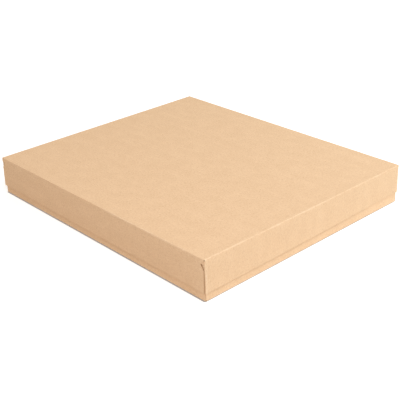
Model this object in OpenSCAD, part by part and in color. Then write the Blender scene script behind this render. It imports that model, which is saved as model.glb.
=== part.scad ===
// Shallow kraft board tray with a lift-off lid.
// Tray and lid are each one die-cut sheet of board: a panel, four walls folded from it, and a glue
// flap at each end of the two short walls, bent round the corner and glued inside the long wall.
// The origin is at the centre of the tray's underside, +X along the length, +Z up.

/* [Closed box] */
// Outside length of the lid, along X
lid_length = 350; // [200:1:500]
// Outside width of the lid, along Y
lid_width = 300; // [150:1:450]
// Height of the box with its lid on
closed_height = 45; // [30:1:120]
// Height of the tray's walls that shows below the lid
tray_reveal = 10; // [2:0.5:16]

/* [Board] */
// Thickness of the board
board = 0.5; // [0.3:0.05:0.8]
// Inside radius of every crease
crease_inside = 0.4; // [0.2:0.05:0.8]

/* [Fit of the lid] */
// Gap on each side between the tray and the nearest layer of the lid
side_gap = 0.3; // [0.2:0.05:1]
// Gap between the tray's rim and the inside of the lid
seat_gap = 0.2; // [0.1:0.05:1]

/* [Glued corners] */
// Length of a glue flap, along the long wall
flap_length = 32; // [12:1:60]
// How far each edge of a flap slopes in, from the corner to its free end
flap_taper = 5; // [1:0.5:8]
// Cut-back of a flap from the crease of the panel
flap_relief = 0.6; // [0.3:0.1:2]
// Cut-back of the ends of the lid's long walls from the outer face of its short walls, at the crease
lid_corner_gap = 0.6; // [0.1:0.05:3]
// The same cut-back on the tray, where the ends are cut close
tray_corner_gap = 0.2; // [0.1:0.05:3]
// How much further every such end is cut back at the wall's rim
end_trim = 1; // [0.2:0.1:3]

/* [Relief nick at the lid's corners] */
// Distance from the lid's top face to the nick
nick_start = 5.2; // [2:0.1:12]
// Length of the nick down the corner
nick_height = 6.8; // [2:0.1:12]
// Depth of the nick into the wall's end
nick_depth = 4.8; // [2.5:0.1:10]
// Width of the open slit along the nick's slanting edge, cut through the flap behind it
slit_width = 1.4; // [0.4:0.1:1.6]
// How far the slit runs on behind the wall, past the edges of the nick
slit_tuck = 0.5; // [0.1:0.05:0.6]

/* [Hidden] */
$fn = 48;

kraft = "#E8C6A0";

// Outside radius of every crease
crease_outside = crease_inside + board;

// The tray stands inside the lid's short walls, and inside the flaps on its long walls
tray_length = lid_length - 2 * (board + side_gap);
tray_width = lid_width - 2 * (2 * board + side_gap);

// The rim meets the inside of the lid's crease, which hangs below the lid's panel near the wall
crease_overlap = max(0, crease_inside - side_gap);
crease_drop = crease_inside - sqrt(pow(crease_inside, 2) - pow(crease_overlap, 2));
tray_height = closed_height - board - crease_drop - seat_gap;
lid_height = closed_height - tray_reveal;

// Rise of the nick's slanting edge for each millimetre along the wall
nick_slope = nick_height / nick_depth;

// Quarter ring of board round the origin, from straight down to straight along X
module crease_section() {
    difference() {
        intersection() {
            circle(r = crease_outside);
            translate([0, -crease_outside])
                square(crease_outside);
        }
        circle(r = crease_inside);
    }
}

// Wall of the given run whose outer face lies on x = 0, on a crease with a run of its own
module wall(run, crease_run, height) {
    rotate([90, 0, 0]) {
        linear_extrude(crease_run, center = true)
            translate([-crease_outside, crease_outside])
                crease_section();
        linear_extrude(run, center = true)
            translate([-board, crease_outside])
                square([board, height - crease_outside]);
    }
}

// Outline of the slit along a nick's slanting edge, with the long wall's end on x = 0 and the wall beyond it
module slit_outline() {
    top_depth = nick_depth + slit_tuck / nick_slope;
    polygon([
        [top_depth + slit_tuck, -slit_tuck],
        [top_depth - slit_width, -slit_tuck],
        [slit_tuck, nick_slope * (nick_depth - slit_width - slit_tuck)],
        [slit_tuck, nick_height],
    ]);
}

// Glue flap that bends out of a short wall ending at the origin and runs back along X.
// The short wall's outer face is on x = 0, and the flap's outer face is on y = 0.
module glue_flap(height, nicked) {
    foot = crease_outside + flap_relief;
    translate([-crease_outside, crease_outside, foot])
        linear_extrude(height - foot)
            crease_section();
    translate([-crease_outside, board, 0])
        rotate([90, 0, 0])
            linear_extrude(board)
                difference() {
                    polygon([
                        [0, foot],
                        [0, height],
                        [-flap_length, height - flap_taper],
                        [-flap_length, foot + flap_taper],
                    ]);
                    if (nicked)
                        translate([crease_outside - lid_corner_gap, nick_start])
                            mirror([1, 0])
                                slit_outline();
                }
}

// Short wall with its two glue flaps, outer face on x = 0; the width is that over the flaps,
// and the crease runs the full width of the panel
module short_wall(width, panel_width, height, nicked) {
    wall(width - 2 * crease_outside, panel_width, height);
    for (side = [0, 1])
        mirror([0, side, 0])
            translate([0, -width / 2, 0])
                glue_flap(height, nicked);
}

// Three-cornered relief nicked out of a long wall's end, which lies on y = 0 with the outer face on x = 0
module nick() {
    translate([-2 * board, 0, nick_start])
        rotate([90, 0, 90])
            linear_extrude(3 * board)
                polygon([
                    [nick_depth, 0],
                    [-board, 0],
                    [-board, nick_slope * (nick_depth + board)],
                ]);
}

// Sliver that trims a long wall's end, which lies on y = 0, to a slope from the crease to the rim
module sloped_trim(height) {
    translate([-2 * board, 0, crease_outside])
        rotate([90, 0, 90])
            linear_extrude(3 * board)
                polygon([
                    [0, 0],
                    [-board, 0],
                    [-board, height],
                    [end_trim, height],
                    [end_trim, height - crease_outside],
                ]);
}

// Long wall, outer face on x = 0, with its two ends trimmed and, on the lid, nicked
module long_wall(run, height, nicked) {
    difference() {
        wall(run, run, height);
        for (side = [0, 1])
            mirror([0, side, 0])
                translate([0, -run / 2, 0]) {
                    sloped_trim(height);
                    if (nicked)
                        nick();
                }
    }
}

// One folded and glued sheet, as an open box with its panel on z = 0 and its walls standing up
module folded_sheet(length, width, height, corner_gap, nicked) {
    panel_length = length - 2 * crease_outside;
    panel_width = width - 2 * crease_outside;
    translate([-panel_length / 2, -panel_width / 2, 0])
        cube([panel_length, panel_width, board]);
    for (turn = [0, 180])
        rotate(turn)
            translate([length / 2, 0, 0])
                short_wall(width - 2 * board, panel_width, height, nicked);
    for (turn = [90, 270])
        rotate(turn)
            translate([width / 2, 0, 0])
                long_wall(length - 2 * corner_gap, height, nicked);
}

module tray() {
    color(kraft)
        folded_sheet(tray_length, tray_width, tray_height, tray_corner_gap, false);
}

module lid() {
    color(kraft)
        translate([0, 0, closed_height])
            rotate([180, 0, 0])
                folded_sheet(lid_length, lid_width, lid_height, lid_corner_gap, true);
}

tray();
lid();
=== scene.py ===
"""Kraft board tray with a lift-off lid: the two folded sheets, a white studio floor, lamps and camera."""

import math
from types import SimpleNamespace

import bmesh
import bpy
from mathutils import Matrix, Quaternion, Vector, noise


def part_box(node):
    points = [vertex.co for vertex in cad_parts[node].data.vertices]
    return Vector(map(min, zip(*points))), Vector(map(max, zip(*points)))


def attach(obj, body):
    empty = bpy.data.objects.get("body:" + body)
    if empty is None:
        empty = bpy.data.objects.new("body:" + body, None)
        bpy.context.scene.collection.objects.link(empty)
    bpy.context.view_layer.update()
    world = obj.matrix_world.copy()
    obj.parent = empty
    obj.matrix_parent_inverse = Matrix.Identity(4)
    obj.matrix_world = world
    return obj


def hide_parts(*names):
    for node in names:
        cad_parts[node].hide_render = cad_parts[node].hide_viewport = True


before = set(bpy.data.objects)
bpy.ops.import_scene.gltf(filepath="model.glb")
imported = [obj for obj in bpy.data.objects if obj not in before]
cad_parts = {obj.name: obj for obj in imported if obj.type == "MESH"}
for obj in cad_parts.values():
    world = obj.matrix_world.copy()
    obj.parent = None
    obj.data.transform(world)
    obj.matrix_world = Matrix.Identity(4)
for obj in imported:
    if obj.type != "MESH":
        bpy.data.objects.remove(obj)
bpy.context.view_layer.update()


# Tray
# The lower half of the box: one sheet of natural kraft board, die-cut, creased and folded up into four
# walls. A flap at each end of both short walls bends round the corner and is glued inside the long wall.

board = 0.0005
crease_radius = 0.0009
crease_arc = crease_radius * math.pi / 2
crease_steps = 8
tray_corner_gap = 0.0002
end_trim = 0.001
flap_length = 0.032
flap_taper = 0.005
flap_relief = 0.0006
glue_line = 0.00006
sheet_grid = 0.006
cut_tolerance = 1e-7

# Flat board that is rubbed together with a crease, and with the bend at a corner
crease_shoulder = 0.0007
bend_shoulder = 0.0025


def sheet_plan(node, corner_gap):
    """Sizes of the flat sheet that folds into a node, measured from the middle of its panel."""
    low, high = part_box(node)
    plan = SimpleNamespace(half_x=(high.x - low.x) / 2, half_y=(high.y - low.y) / 2, height=high.z - low.z)
    wall = plan.height - crease_radius
    plan.panel_x = plan.half_x - crease_radius
    plan.panel_y = plan.half_y - crease_radius
    plan.rim_x = plan.panel_x + crease_arc + wall
    plan.rim_y = plan.panel_y + crease_arc + wall
    plan.long_end = plan.half_x - corner_gap
    plan.short_end = plan.half_y - board - glue_line - crease_radius
    plan.flap_foot = plan.panel_x + crease_arc + flap_relief
    plan.flap_root = plan.short_end + crease_arc
    plan.flap_tip = plan.flap_root + flap_length
    return plan


def zone(plan, x, y):
    """The part of the sheet that a flat place lies in, or None for the waste that the die cuts away."""
    x, y = abs(x), abs(y)
    if x < plan.panel_x and y < plan.panel_y:
        return "panel"
    if y > plan.panel_y and x < plan.long_end:
        return "long_wall" if y < plan.rim_y else None
    short_reach = plan.panel_y if x < plan.panel_x + crease_arc else plan.short_end
    if x > plan.panel_x and y < short_reach:
        return "short_wall"
    if x > plan.flap_foot and plan.short_end < y < plan.flap_tip:
        return "flap"
    return None


def evenly(start, end):
    """Places from start to end, both included, about one grid step apart."""
    count = max(1, round((end - start) / sheet_grid))
    return [start + (end - start) * i / count for i in range(count + 1)]


def across_crease(start):
    """Places across a crease that begins at start, with a line on the flat board beside it."""
    inside = [start + crease_arc * i / crease_steps for i in range(crease_steps + 1)]
    return [start - crease_shoulder, *inside, start + crease_arc + crease_shoulder]


def faces_where(bm, test):
    """The faces whose middle passes a test on its flat place, then their edges and corners, in one order."""
    faces = [f for f in bm.faces if test(*f.calc_center_median().xy)]
    edges = dict.fromkeys(e for f in faces for e in f.edges)
    corners = dict.fromkeys(v for f in faces for v in f.verts)
    return [*faces, *edges, *corners]


def scored(plan):
    """A flat rectangle of board, divided on every line that it will be creased, bent or cut on."""
    bm = bmesh.new()
    bmesh.ops.create_grid(bm, x_segments=1, y_segments=1, size=1)
    bmesh.ops.scale(bm, vec=(plan.rim_x, max(plan.rim_y, plan.flap_tip), 1), verts=bm.verts)
    wall_x = plan.panel_x + crease_arc + crease_shoulder
    wall_y = plan.flap_root + crease_shoulder
    lines_x = {*across_crease(plan.panel_x), plan.long_end, plan.flap_foot, *evenly(wall_x, plan.rim_x)}
    lines_y = {*across_crease(plan.panel_y), *across_crease(plan.short_end), plan.rim_y, plan.flap_tip}
    lines_y.add(plan.short_end - bend_shoulder)
    lines_x |= set(evenly(0, plan.panel_x - crease_shoulder))
    lines_y |= set(evenly(0, plan.short_end - crease_shoulder)) | set(evenly(wall_y, plan.rim_y))
    for axis, lines in ((Vector((1, 0, 0)), lines_x), (Vector((0, 1, 0)), lines_y)):
        for place in sorted({*lines, *(-p for p in lines)}):
            bmesh.ops.bisect_plane(
                bm,
                geom=[*bm.verts, *bm.edges, *bm.faces],
                dist=cut_tolerance,
                plane_co=axis * place,
                plane_no=axis,
            )
    return bm


def trim(bm, plan, part, place, outward):
    """Cuts a part of the sheet on a slanting line through a place, in that place's quarter of the sheet."""

    def beyond(x, y):
        return zone(plan, x, y) == part and min(x * place.x, y * place.y) > 0 and abs(y) > abs(place.y)

    bmesh.ops.bisect_plane(
        bm,
        geom=faces_where(bm, beyond),
        dist=cut_tolerance,
        plane_co=place.to_3d(),
        plane_no=outward.to_3d(),
        clear_outer=True,
    )


def die_cut(plan):
    """The flat sheet with the waste, the flaps' tapers and the slopes of the long walls' ends cut away."""
    bm = scored(plan)
    waste = [f for f in bm.faces if zone(plan, *f.calc_center_median().xy) is None]
    bmesh.ops.delete(bm, geom=waste, context="FACES")
    wall_foot = plan.panel_y + crease_arc
    cuts = (
        ("flap", (plan.flap_foot, plan.flap_root), (-flap_length, flap_taper)),
        ("flap", (plan.rim_x, plan.flap_root), (flap_length, flap_taper)),
        ("long_wall", (plan.long_end, wall_foot), (plan.rim_y - wall_foot, end_trim)),
    )
    for side in (Vector((x, y)) for x in (1, -1) for y in (1, -1)):
        for part, place, outward in cuts:
            trim(bm, plan, part, Vector(place) * side, Vector(outward) * side)
    return bm


def bend(run):
    """Places along and away from the board's own plane, at a run along it from the start of a crease."""
    if run < 0:
        return run, 0
    if run < crease_arc:
        angle = run / crease_radius
        return crease_radius * math.sin(angle), crease_radius * (1 - math.cos(angle))
    return crease_radius, crease_radius + run - crease_arc


def smooth_step(share):
    """A share held between 0 and 1, easing in and out."""
    share = min(1, max(0, share))
    return share * share * (3 - 2 * share)


def free_share(plan, up):
    """How far a place is up its wall, from 0 at the crease to nearly 1 at the rim."""
    return max(0, up - crease_radius) / plan.height


def bowed(bow, place, half):
    """The part of a bow that is left at a place: all of it in the middle and none at the ends."""
    return bow * math.cos(math.pi / 2 * place / half)


def between_corners(plan, corners, x, y):
    """A vector at a place over the panel, blended from those given for some of its four corners."""
    along = min(1, max(0, (1 + x / plan.half_x) / 2))
    across = min(1, max(0, (1 + y / plan.half_y) / 2))
    shares = {(1, 1): along * across, (1, -1): along * (1 - across), (-1, 1): (1 - along) * across}
    shares[-1, -1] = (1 - along) * (1 - across)
    return sum((shares[corner] * Vector(value) for corner, value in corners.items()), Vector((0, 0, 0)))


gape_reach = 0.022  # along a long wall, from its end
gape_rise = 0.006  # up the wall, from its crease
gape_at_rise = 0.5  # share of the gape that is open there
gape_elsewhere = 0.25  # share of it at the corners that aren't loose
lift_reach = 0.12  # over the panel, from the loose corner
ripples_per_metre = 14


def folded(plan, spring, x, y):
    """Where a flat place ends up once the sheet is folded, panel down, with the board's own slight bows."""
    sign_x, sign_y = math.copysign(1, x), math.copysign(1, y)
    loose = spring.loose_corner == (sign_x, sign_y)
    ripple = spring.ripple * noise.noise(Vector((x * ripples_per_metre, y * ripples_per_metre, spring.seed)))
    x, y = abs(x), abs(y)
    if y > plan.panel_y and x < plan.flap_foot - flap_relief / 2:
        out, up = bend(y - plan.panel_y)
        free = free_share(plan, up)
        gape = spring.gape * smooth_step(1 - (plan.long_end - x) / gape_reach)
        gape *= 1 if loose else gape_elsewhere
        gape *= gape_at_rise * smooth_step(up / gape_rise) + (1 - gape_at_rise) * free
        bow = bowed(spring.long_bow, x, plan.half_x) * free
        place = Vector((x, plan.panel_y + out + bow + gape + ripple * free, up))
    elif x > plan.panel_x:
        out, up = bend(x - plan.panel_x)
        free = free_share(plan, up)
        along, back = bend(y - plan.short_end)
        if y > plan.short_end and x > plan.panel_x + crease_arc + flap_relief / 2:
            inward = plan.half_x - back
            bow = bowed(spring.long_bow, inward, plan.half_x) * free
            place = Vector((inward, plan.short_end + along + bow, up))
        else:
            bow = bowed(spring.short_bow, y, plan.short_end) * free
            place = Vector((plan.panel_x + out + bow + ripple * free, y, up))
    else:
        place = Vector((x, y, bowed(bowed(spring.dish, x, plan.panel_x), y, plan.panel_y)))
    if loose:
        away = math.hypot(max(0, plan.panel_x - place.x), max(0, plan.panel_y - place.y))
        place.z -= spring.lift * smooth_step(1 - away / lift_reach)
    skew = between_corners(plan, spring.rim_skew, sign_x * place.x, sign_y * place.y)
    skew *= free_share(plan, place.z)
    place.x *= 1 + skew.x / plan.half_x
    place.y *= 1 + skew.y / plan.half_y
    return Vector((sign_x * place.x, sign_y * place.y, place.z + skew.z))


# Painted highlight: the paler rub on creases and bends is partly real wear and partly a painted highlight on
# the rounded folds, strongest on a corner's bend and fading along a crease away from the loose corner.
bend_rub_and_highlight = 1.6  # on a corner's bend, where a crease has 1
# Painted shade in a corner's seam deepens over this run up the flap.
seam_shade_start = 0.018  # up a flap, from its foot
hair = 1e-6
held_reach = 0.12  # along a crease, from the corner that the sheet is picked up by
held_fade = 0.08  # further along it
rub_and_highlight_elsewhere = 0.3  # share of the rub that is left there


def rub_and_highlight_share(plan, spring, x, y):
    """How much of its rub and painted highlight a crease has at a flat place: all of it near the loose
    corner, less further on.
    """
    if spring.loose_corner is None:
        return 1
    side_x, side_y = spring.loose_corner
    away = math.hypot(plan.panel_x - side_x * x, plan.panel_y - side_y * y)
    return 1 - (1 - rub_and_highlight_elsewhere) * smooth_step((away - held_reach) / held_fade)


def crease_nearness(plan, spring, x, y):
    """1 on a crease of the panel, more on a corner's bend (rubbed board and painted highlight), down to -1
    where the bend turns into the seam behind a long wall's end, which is painted shade.
    """
    rub_and_highlight = rub_and_highlight_share(plan, spring, x, y)
    x, y = abs(x), abs(y)

    def nearness(run, reach):
        return max(0, 1 - max(0, abs(run - crease_arc / 2) - crease_arc / 2) / reach)

    if x > plan.flap_foot - hair:
        run = y - plan.short_end
        turned = min(1, max(0, run / crease_arc))
        seam_shade_share = smooth_step((x - plan.flap_foot) / seam_shade_start)
        # The negative part is painted shade in the seam, growing further up the flap.
        rub = bend_rub_and_highlight * (1 - turned) - seam_shade_share * turned
        return rub * nearness(run, bend_shoulder if run < 0 else crease_shoulder)
    if y > plan.short_end + hair:
        return rub_and_highlight * nearness(y - plan.panel_y, crease_shoulder)
    runs = (x - plan.panel_x, y - plan.panel_y)
    return rub_and_highlight * max(nearness(run, crease_shoulder) for run in runs)


def put(tree, kind, settings, inputs):
    """A new shader node with its settings and its input values or links."""
    made = tree.nodes.new(kind)
    for name, value in settings.items():
        setattr(made, name, value)
    for socket, value in inputs.items():
        if isinstance(value, bpy.types.NodeSocket):
            tree.links.new(value, made.inputs[socket])
        else:
            made.inputs[socket].default_value = value
    return made


def bare_material(name):
    """A new material with nothing in its node tree, and that tree."""
    material = bpy.data.materials.new(name)
    material.use_nodes = True
    material.node_tree.nodes.clear()
    return material, material.node_tree


def worked_out(tree, operation, first, second):
    """The result of a sum on two values, such as ADD or MULTIPLY."""
    return put(tree, "ShaderNodeMath", {"operation": operation}, {0: first, 1: second}).outputs[0]


def blended(tree, factor, first, second):
    """The colour socket of a mix of two colours."""
    return put(tree, "ShaderNodeMix", {"data_type": "RGBA"}, {0: factor, 6: first, 7: second}).outputs[2]


def ranged(tree, value, low, high, to_low, to_high):
    """A value mapped smoothly from one range to another and held inside it."""
    spread = {"Value": value, "From Min": low, "From Max": high, "To Min": to_low, "To Max": to_high}
    return put(tree, "ShaderNodeMapRange", {"interpolation_type": "SMOOTHSTEP"}, spread).outputs[0]


def tinted(tree, colour, pattern, start, full, amount, tint):
    """A colour turned towards a tint, by the amount at most, as a pattern goes from start to full."""
    return blended(tree, ranged(tree, pattern, start, full, to_low=0, to_high=amount), colour, tint)


def stretched_noise(tree, flat, along, across, detail, angle=0):
    """Noise on the flat sheet drawn out into streaks: sizes in features per metre, angle in degrees."""
    turned = put(
        tree,
        "ShaderNodeMapping",
        {"vector_type": "TEXTURE"},
        {"Vector": flat, "Rotation": (0, 0, math.radians(angle)), "Scale": (1 / along, 1 / across, 1)},
    )
    grain = put(
        tree,
        "ShaderNodeTexNoise",
        {"noise_dimensions": "2D"},
        {"Vector": turned.outputs[0], "Scale": 1.0, "Detail": detail, "Roughness": 0.5},
    )
    return grain.outputs[0]


def wandering(tree, flat, size, amount):
    """The flat place moved about by noise, so that what is drawn on it curls: per metre, and metres."""
    drift = put(
        tree,
        "ShaderNodeTexNoise",
        {"noise_dimensions": "2D"},
        {"Vector": flat, "Scale": size, "Detail": 1.0},
    )
    centred = put(
        tree,
        "ShaderNodeVectorMath",
        {"operation": "SUBTRACT"},
        {0: drift.outputs["Color"], 1: (0.5, 0.5, 0.5)},
    )
    moved = put(
        tree,
        "ShaderNodeVectorMath",
        {"operation": "MULTIPLY_ADD"},
        {0: centred.outputs[0], 1: (amount, amount, 0), 2: flat},
    )
    return moved.outputs[0]


kraft_deep = (0.815, 0.562, 0.336)
kraft_light = (0.865, 0.608, 0.374)
kraft_streak = (0.80, 0.545, 0.325)
fibre_dark = (0.60, 0.36, 0.19)
fibre_pale = (0.95, 0.74, 0.52)
bark_brown = (0.36, 0.19, 0.09)
# Paler board along creases and bends: partly real rubbing, partly a painted highlight.
crease_pale_wear_and_highlight = (0.95, 0.75, 0.53)
# Painted shade where a corner's bend turns into the seam behind a long wall's end.
seam_painted_shade = (0.40, 0.24, 0.12)

# How strongly the single fibres show, then each set of them: its angle, and fibres per metre along and across
fibre_strength = 0.34
fibre_sets = ((4, 420, 8200), (-21, 460, 9400), (33, 440, 8800), (68, 500, 9000), (-64, 480, 8500))

# Bark flecks: cells of the pulp per metre, the widest fleck as a share of its cell, and its solid middle
fleck_cells = 210
fleck_width = 0.075
fleck_core = 0.6


def kraft_face(name, tone):
    """Uncoated natural kraft: long brown fibres, soft clouds, a few bark flecks, paler along the creases
    (partly rubbed board, partly a painted highlight), with painted shade in the corners' seams.
    """

    def shade(colour):
        return (*(min(1, part * tone) for part in colour), 1)

    material, tree = bare_material(name)
    flat = put(tree, "ShaderNodeUVMap", {"uv_map": "blank"}, {}).outputs[0]
    dark_fibre = shade(fibre_dark)
    pale_fibre = shade(fibre_pale)

    clouds = stretched_noise(tree, flat, along=55, across=75, detail=4)
    streaks = stretched_noise(tree, flat, along=9, across=240, detail=3)
    mottle = stretched_noise(tree, flat, along=380, across=620, detail=3)
    colour = shade(kraft_deep)
    colour = tinted(tree, colour, clouds, start=0.25, full=0.75, amount=1, tint=shade(kraft_light))
    colour = tinted(tree, colour, streaks, start=0.3, full=0.7, amount=0.35, tint=shade(kraft_streak))
    colour = tinted(tree, colour, mottle, start=0.55, full=0.75, amount=fibre_strength, tint=dark_fibre)
    colour = tinted(tree, colour, mottle, start=0.45, full=0.25, amount=fibre_strength, tint=pale_fibre)

    curled = wandering(tree, flat, size=520, amount=0.0016)
    relief = stretched_noise(tree, flat, along=2600, across=3200, detail=2)
    for angle, along, across in fibre_sets:
        fibre = stretched_noise(tree, curled, along, across, detail=1, angle=angle)
        colour = tinted(tree, colour, fibre, start=0.63, full=0.76, amount=fibre_strength, tint=dark_fibre)
        colour = tinted(tree, colour, fibre, start=0.37, full=0.24, amount=fibre_strength, tint=pale_fibre)
        relief = worked_out(tree, "ADD", relief, fibre)

    flecks = put(
        tree,
        "ShaderNodeTexVoronoi",
        {"voronoi_dimensions": "2D", "feature": "F1"},
        {"Vector": wandering(tree, flat, size=2600, amount=0.0006), "Scale": fleck_cells, "Randomness": 1},
    )
    chance = put(tree, "ShaderNodeSeparateColor", {}, {"Color": flecks.outputs["Color"]}).outputs
    edge = ranged(tree, chance[0], low=0.7, high=1, to_low=0, to_high=fleck_width)
    core = worked_out(tree, "MULTIPLY", edge, fleck_core)
    strength = ranged(tree, chance[1], low=0, high=1, to_low=0.2, to_high=0.7)
    spot = ranged(tree, flecks.outputs["Distance"], low=edge, high=core, to_low=0, to_high=strength)
    colour = blended(tree, spot, colour, shade(bark_brown))

    crease = put(tree, "ShaderNodeAttribute", {"attribute_name": "crease"}, {}).outputs["Fac"]
    scuffs_and_highlight_breakup = stretched_noise(tree, flat, along=420, across=420, detail=3)
    handling_and_highlight_spread = stretched_noise(tree, flat, along=24, across=24, detail=2)
    rub_and_highlight = worked_out(
        tree,
        "MULTIPLY",
        ranged(tree, scuffs_and_highlight_breakup, low=0.3, high=0.7, to_low=0.1, to_high=0.55),
        ranged(tree, handling_and_highlight_spread, low=0.35, high=0.65, to_low=0.3, to_high=1),
    )
    # Paler along the creases and bends: partly rubbed board, partly a painted highlight.
    colour = blended(tree, worked_out(tree, "MULTIPLY", rub_and_highlight, crease), colour, shade(crease_pale_wear_and_highlight))
    # Painted shade: the board darkens where the bend turns into the seam, standing in for the shadow in the
    # gap.
    colour = tinted(tree, colour, crease, start=0, full=-1, amount=0.65, tint=shade(seam_painted_shade))

    bump = put(tree, "ShaderNodeBump", {}, {"Height": relief, "Strength": 0.22, "Distance": 0.00002})
    surface = put(
        tree,
        "ShaderNodeBsdfPrincipled",
        {},
        {
            "Base Color": colour,
            "Roughness": ranged(tree, clouds, low=0.25, high=0.75, to_low=0.80, to_high=0.92),
            "Specular IOR Level": 0.28,
            "Normal": bump.outputs[0],
        },
    )
    put(tree, "ShaderNodeOutputMaterial", {}, {"Surface": surface.outputs[0]})
    return material


edge_deep = (0.50, 0.315, 0.175, 1)
edge_light = (0.72, 0.495, 0.30, 1)
edge_nick = (0.34, 0.19, 0.10, 1)


def kraft_cut_edge(name):
    """The raw cut edge of the board: short fibre ends, duller and browner than the face."""
    material, tree = bare_material(name)
    place = put(tree, "ShaderNodeTexCoord", {}, {}).outputs["Object"]
    ends = put(tree, "ShaderNodeTexNoise", {}, {"Vector": place, "Scale": 2400, "Detail": 3}).outputs[0]
    nicks = put(tree, "ShaderNodeTexNoise", {}, {"Vector": place, "Scale": 420, "Detail": 2}).outputs[0]
    colour = tinted(tree, edge_deep, ends, start=0.3, full=0.7, amount=1, tint=edge_light)
    colour = tinted(tree, colour, nicks, start=0.55, full=0.75, amount=0.4, tint=edge_nick)
    bump = put(tree, "ShaderNodeBump", {}, {"Height": ends, "Strength": 0.4, "Distance": 0.00005})
    surface = put(
        tree,
        "ShaderNodeBsdfPrincipled",
        {},
        {"Base Color": colour, "Roughness": 0.95, "Specular IOR Level": 0.2, "Normal": bump.outputs[0]},
    )
    put(tree, "ShaderNodeOutputMaterial", {}, {"Surface": surface.outputs[0]})
    return material


sharp_from = math.radians(45)


def fold_up(name, bm, plan, spring, turn, materials):
    """Folds a flat sheet, turns it to its place in the frame and gives the board its thickness."""
    bmesh.ops.reverse_faces(bm, faces=bm.faces)
    blank = bm.loops.layers.uv.new("blank")
    crease = bm.verts.layers.float.new("crease")
    for corner in (loop for face in bm.faces for loop in face.loops):
        corner[blank].uv = corner.vert.co.xy + Vector(spring.roll_place)
    for vert in bm.verts:
        vert[crease] = crease_nearness(plan, spring, vert.co.x, vert.co.y)
        vert.co = folded(plan, spring, vert.co.x, vert.co.y)
    bmesh.ops.transform(bm, matrix=turn, verts=bm.verts)
    for face in bm.faces:
        face.smooth = True
    skin = bpy.data.meshes.new(name)
    bm.to_mesh(skin)
    bm.free()
    sheet = bpy.data.objects.new(name, skin)
    bpy.context.scene.collection.objects.link(sheet)
    for material in materials:
        skin.materials.append(material)
    thickness = sheet.modifiers.new("board", "SOLIDIFY")
    thickness.thickness = board
    thickness.offset = -1
    thickness.use_even_offset = True
    thickness.use_quality_normals = True
    thickness.material_offset_rim = 1
    solid = bpy.data.meshes.new_from_object(sheet.evaluated_get(bpy.context.evaluated_depsgraph_get()))
    sheet.modifiers.clear()
    sheet.data = solid
    solid.name = name
    solid.set_sharp_from_angle(angle=sharp_from)
    bpy.data.meshes.remove(skin)
    return sheet


tray_plan = sheet_plan("tray", tray_corner_gap)
tray_spring = SimpleNamespace(
    dish=0.0004,
    long_bow=-0.0002,
    short_bow=-0.0001,
    gape=0,
    rim_skew={},
    lift=0,
    loose_corner=None,
    ripple=0.0001,
    seed=1.7,
    roll_place=(0.2, 0.3),
)
# Painted light: the tray's board is made 6% paler than the lid's, standing in for the extra light on its
# lower band.
tray_painted_light_tone = 1.06
cut_edge = kraft_cut_edge("kraft_cut_edge")
tray_finish = [kraft_face("kraft_tray_face", tray_painted_light_tone), cut_edge]
tray_sheet = fold_up("tray_sheet", die_cut(tray_plan), tray_plan, tray_spring, Matrix(), tray_finish)
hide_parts("tray")
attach(tray_sheet, "tray")


# Lid
# The upper half: a second sheet of the same board, with shallower walls and a nick at each corner, turned
# over and dropped on the tray's rim. It is slightly out of true, with one corner high and its seam open.

lid_corner_gap = 0.0006
nick_start = 0.0052
nick_height = 0.0068
nick_depth = 0.0048
nick_slope = nick_height / nick_depth
nick_reach = 0.015
slit_width = 0.0014
slit_tuck = 0.0005


def punch(bm, plan, part, outline):
    """Cuts a convex outline out of one part of a flat sheet, no further away than a nick reaches."""
    sides = list(zip(outline, outline[1:] + outline[:1]))

    def near(x, y):
        return zone(plan, x, y) == part and (Vector((x, y)) - outline[0]).length < nick_reach

    def inside(x, y):
        turns = [(end - start).cross(Vector((x, y)) - start) for start, end in sides]
        return near(x, y) and (min(turns) > 0 or max(turns) < 0)

    for start, end in sides:
        along = end - start
        bmesh.ops.bisect_plane(
            bm,
            geom=faces_where(bm, near),
            dist=cut_tolerance,
            plane_co=start.to_3d(),
            plane_no=(-along.y, along.x, 0),
        )
    waste = [f for f in bm.faces if inside(*f.calc_center_median().xy)]
    bmesh.ops.delete(bm, geom=waste, context="FACES")


def nick_corners(bm, plan):
    """Nicks the four ends of a flat sheet's long walls, and slits the flaps that will lie behind them."""
    nick_foot = nick_start + nick_slope * (nick_depth + board)
    nick = [(nick_depth, nick_start), (-board, nick_start), (-board, nick_foot)]
    top_depth = nick_depth + slit_tuck / nick_slope
    slit = [
        (top_depth + slit_tuck, nick_start - slit_tuck),
        (top_depth - slit_width, nick_start - slit_tuck),
        (slit_tuck, nick_start + nick_slope * (nick_depth - slit_width - slit_tuck)),
        (slit_tuck, nick_start + nick_height),
    ]
    fold_x = plan.panel_x + crease_arc - crease_radius
    fold_y = plan.panel_y + crease_arc - crease_radius
    flap_end = plan.flap_root - crease_radius + lid_corner_gap
    for side in (Vector((x, y)) for x in (1, -1) for y in (1, -1)):
        on_wall = [Vector((plan.long_end - deep, fold_y + up)) * side for deep, up in nick]
        on_flap = [Vector((fold_x + up, flap_end + deep)) * side for deep, up in slit]
        punch(bm, plan, "long_wall", on_wall)
        punch(bm, plan, "flap", on_flap)
    return bm


lid_plan = sheet_plan("lid", lid_corner_gap)

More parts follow.
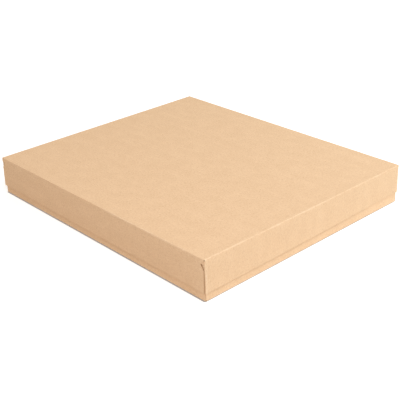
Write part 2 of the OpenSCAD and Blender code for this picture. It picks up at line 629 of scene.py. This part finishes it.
# Corners go by the signs of x and y on the sheet as it lies before it is turned over
lid_spring = SimpleNamespace(
    dish=0.0006,
    long_bow=0.0003,
    short_bow=0.0002,
    gape=0.0004,
    rim_skew={
        (1, 1): (0.0006, 0, 0.0014),
        (1, -1): (0.0003, 0.0003, -0.0022),
        (-1, 1): (0.0007, 0.0007, 0.0003),
        (-1, -1): (0.0003, 0.0003, -0.0008),
    },
    lift=0.0007,
    loose_corner=(1, 1),
    ripple=0.0001,
    seed=5.2,
    roll_place=(1.4, 0.9),
)
lid_tone = 1
lid_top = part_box("lid")[1].z
lid_turn = Matrix.Translation((0, 0, lid_top)) @ Matrix.Rotation(math.pi, 4, "X")
lid_blank = nick_corners(die_cut(lid_plan), lid_plan)
lid_finish = [kraft_face("kraft_lid_face", lid_tone), cut_edge]
lid_sheet = fold_up("lid_sheet", lid_blank, lid_plan, lid_spring, lid_turn, lid_finish)
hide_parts("lid")
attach(lid_sheet, "lid")


# Floor
# A seamless white studio floor of matt card. It glows a little to the camera alone, so that it meets the
# white world behind it.
# Near where the box stands on it, the glow is cut and the card's colour as seen directly is darkened: a
# painted contact shadow.

floor_reach = 8.0
floor_white = (0.85, 0.85, 0.85, 1)
near_glow = 0.5
far_glow = 0.9
glow_rises = 0.5
glow_full = 1.5
contact_reach = 0.0028
painted_contact_shadow = 0.3
towards_light = Vector((0.2, 0.4, 0.9)).normalized()
black = (0, 0, 0, 1)
white = (1, 1, 1, 1)


def seen_directly(tree):
    """1 for rays that show a backdrop to the camera, straight or in a reflection, and 0 for lighting rays."""
    path = put(tree, "ShaderNodeLightPath", {}, {}).outputs
    mirrored = worked_out(tree, "MAXIMUM", path["Is Camera Ray"], path["Is Glossy Ray"])
    return worked_out(tree, "MAXIMUM", mirrored, path["Is Transmission Ray"])


floor_card, floor_tree = bare_material("studio_white")
light_side = put(floor_tree, "ShaderNodeCombineXYZ", {}, dict(enumerate(towards_light))).outputs[0]
openness = put(
    floor_tree,
    "ShaderNodeAmbientOcclusion",
    {"samples": 32},
    {"Distance": contact_reach, "Normal": light_side},
).outputs["AO"]
# Painted contact shadow: where ambient occlusion tilted towards the lamps finds the box close, the floor's
# directly seen colour and glow fall.
clear = ranged(floor_tree, openness, low=0.45, high=0.9, to_low=painted_contact_shadow, to_high=1)
seen = seen_directly(floor_tree)
contact = put(floor_tree, "ShaderNodeMapRange", {}, {"Value": seen, "To Min": 1, "To Max": clear}).outputs[0]
card_colour = blended(floor_tree, contact, black, floor_white)
floor_place = put(floor_tree, "ShaderNodeTexCoord", {}, {}).outputs["Object"]
distance = put(floor_tree, "ShaderNodeVectorMath", {"operation": "LENGTH"}, {0: floor_place}).outputs["Value"]
glow_level = ranged(floor_tree, distance, low=glow_rises, high=glow_full, to_low=near_glow, to_high=far_glow)
glow_level = worked_out(floor_tree, "MULTIPLY", clear, glow_level)
glow_level = worked_out(floor_tree, "MULTIPLY", glow_level, seen)
card = put(floor_tree, "ShaderNodeBsdfDiffuse", {}, {"Color": card_colour})
glow = put(floor_tree, "ShaderNodeEmission", {}, {"Color": white, "Strength": glow_level})
both = put(floor_tree, "ShaderNodeAddShader", {}, {0: card.outputs[0], 1: glow.outputs[0]})
put(floor_tree, "ShaderNodeOutputMaterial", {}, {"Surface": both.outputs[0]})

floor_mesh = bpy.data.meshes.new("floor")
floor_bm = bmesh.new()
bmesh.ops.create_grid(floor_bm, x_segments=1, y_segments=1, size=floor_reach)
floor_bm.to_mesh(floor_mesh)
floor_bm.free()
floor_mesh.materials.append(floor_card)
floor = bpy.data.objects.new("floor", floor_mesh)
bpy.context.scene.collection.objects.link(floor)


# Light
# A white room that lights the box from all round and shows as plain white behind it, one large softbox
# low behind the right-hand corner, and a second, weaker one high over the front corner.

room_light = (0.458, 0.406, 0.362, 1)
room = bpy.data.worlds.new("white_room")
room.use_nodes = True
bpy.context.scene.world = room
room_tree = room.node_tree
room_tree.nodes.clear()
room_colour = blended(room_tree, seen_directly(room_tree), room_light, white)
sky = put(room_tree, "ShaderNodeBackground", {}, {"Color": room_colour, "Strength": 1})
put(room_tree, "ShaderNodeOutputWorld", {}, {"Surface": sky.outputs[0]})

softbox_reach = 1.6
softbox_width = 1.0


def softbox(name, side, height, power, colour):
    """A square lamp that faces the box: degrees round from +X, degrees up from the floor, and watts."""
    lamp = bpy.data.lights.new(name, "AREA")
    lamp.shape = "SQUARE"
    lamp.size = softbox_width
    lamp.energy = power
    lamp.color = colour
    holder = bpy.data.objects.new(name, lamp)
    turn = Matrix.Rotation(math.radians(side), 3, "Z") @ Matrix.Rotation(math.radians(-height), 3, "Y")
    holder.location = turn @ Vector((softbox_reach, 0, 0))
    holder.rotation_mode = "QUATERNION"
    holder.rotation_quaternion = (-holder.location).to_track_quat("-Z", "Y")
    bpy.context.scene.collection.objects.link(holder)


softbox("right_softbox", side=60, height=28, power=19.3, colour=(0.79, 0.92, 1.0))
softbox("front_softbox", side=-45, height=50, power=11.2, colour=(1.0, 0.94, 0.95))


# Camera
# A short telephoto lens at the photograph's angle, aimed at a point just off the middle of the box's
# underside and turned a little about its own axis.

azimuth = math.radians(47.925)
elevation = math.radians(25.892)
roll = math.radians(1.836)
aim = Vector((0.0108, -0.0043, 0.0002))
reach = 0.9899
focal_length = 76.586
film_width = 36
back = Vector(
    (math.sin(azimuth) * math.cos(elevation), -math.cos(azimuth) * math.cos(elevation), math.sin(elevation))
)
camera_data = bpy.data.cameras.new("camera")
camera_data.sensor_width = film_width
camera_data.lens = focal_length
camera = bpy.data.objects.new("camera", camera_data)
camera.location = aim + back * reach
camera.rotation_mode = "QUATERNION"
camera.rotation_quaternion = (-back).to_track_quat("-Z", "Y") @ Quaternion((0, 0, 1), -roll)
bpy.context.scene.collection.objects.link(camera)
bpy.context.scene.camera = camera
bpy.context.scene.view_settings.view_transform = "Standard"
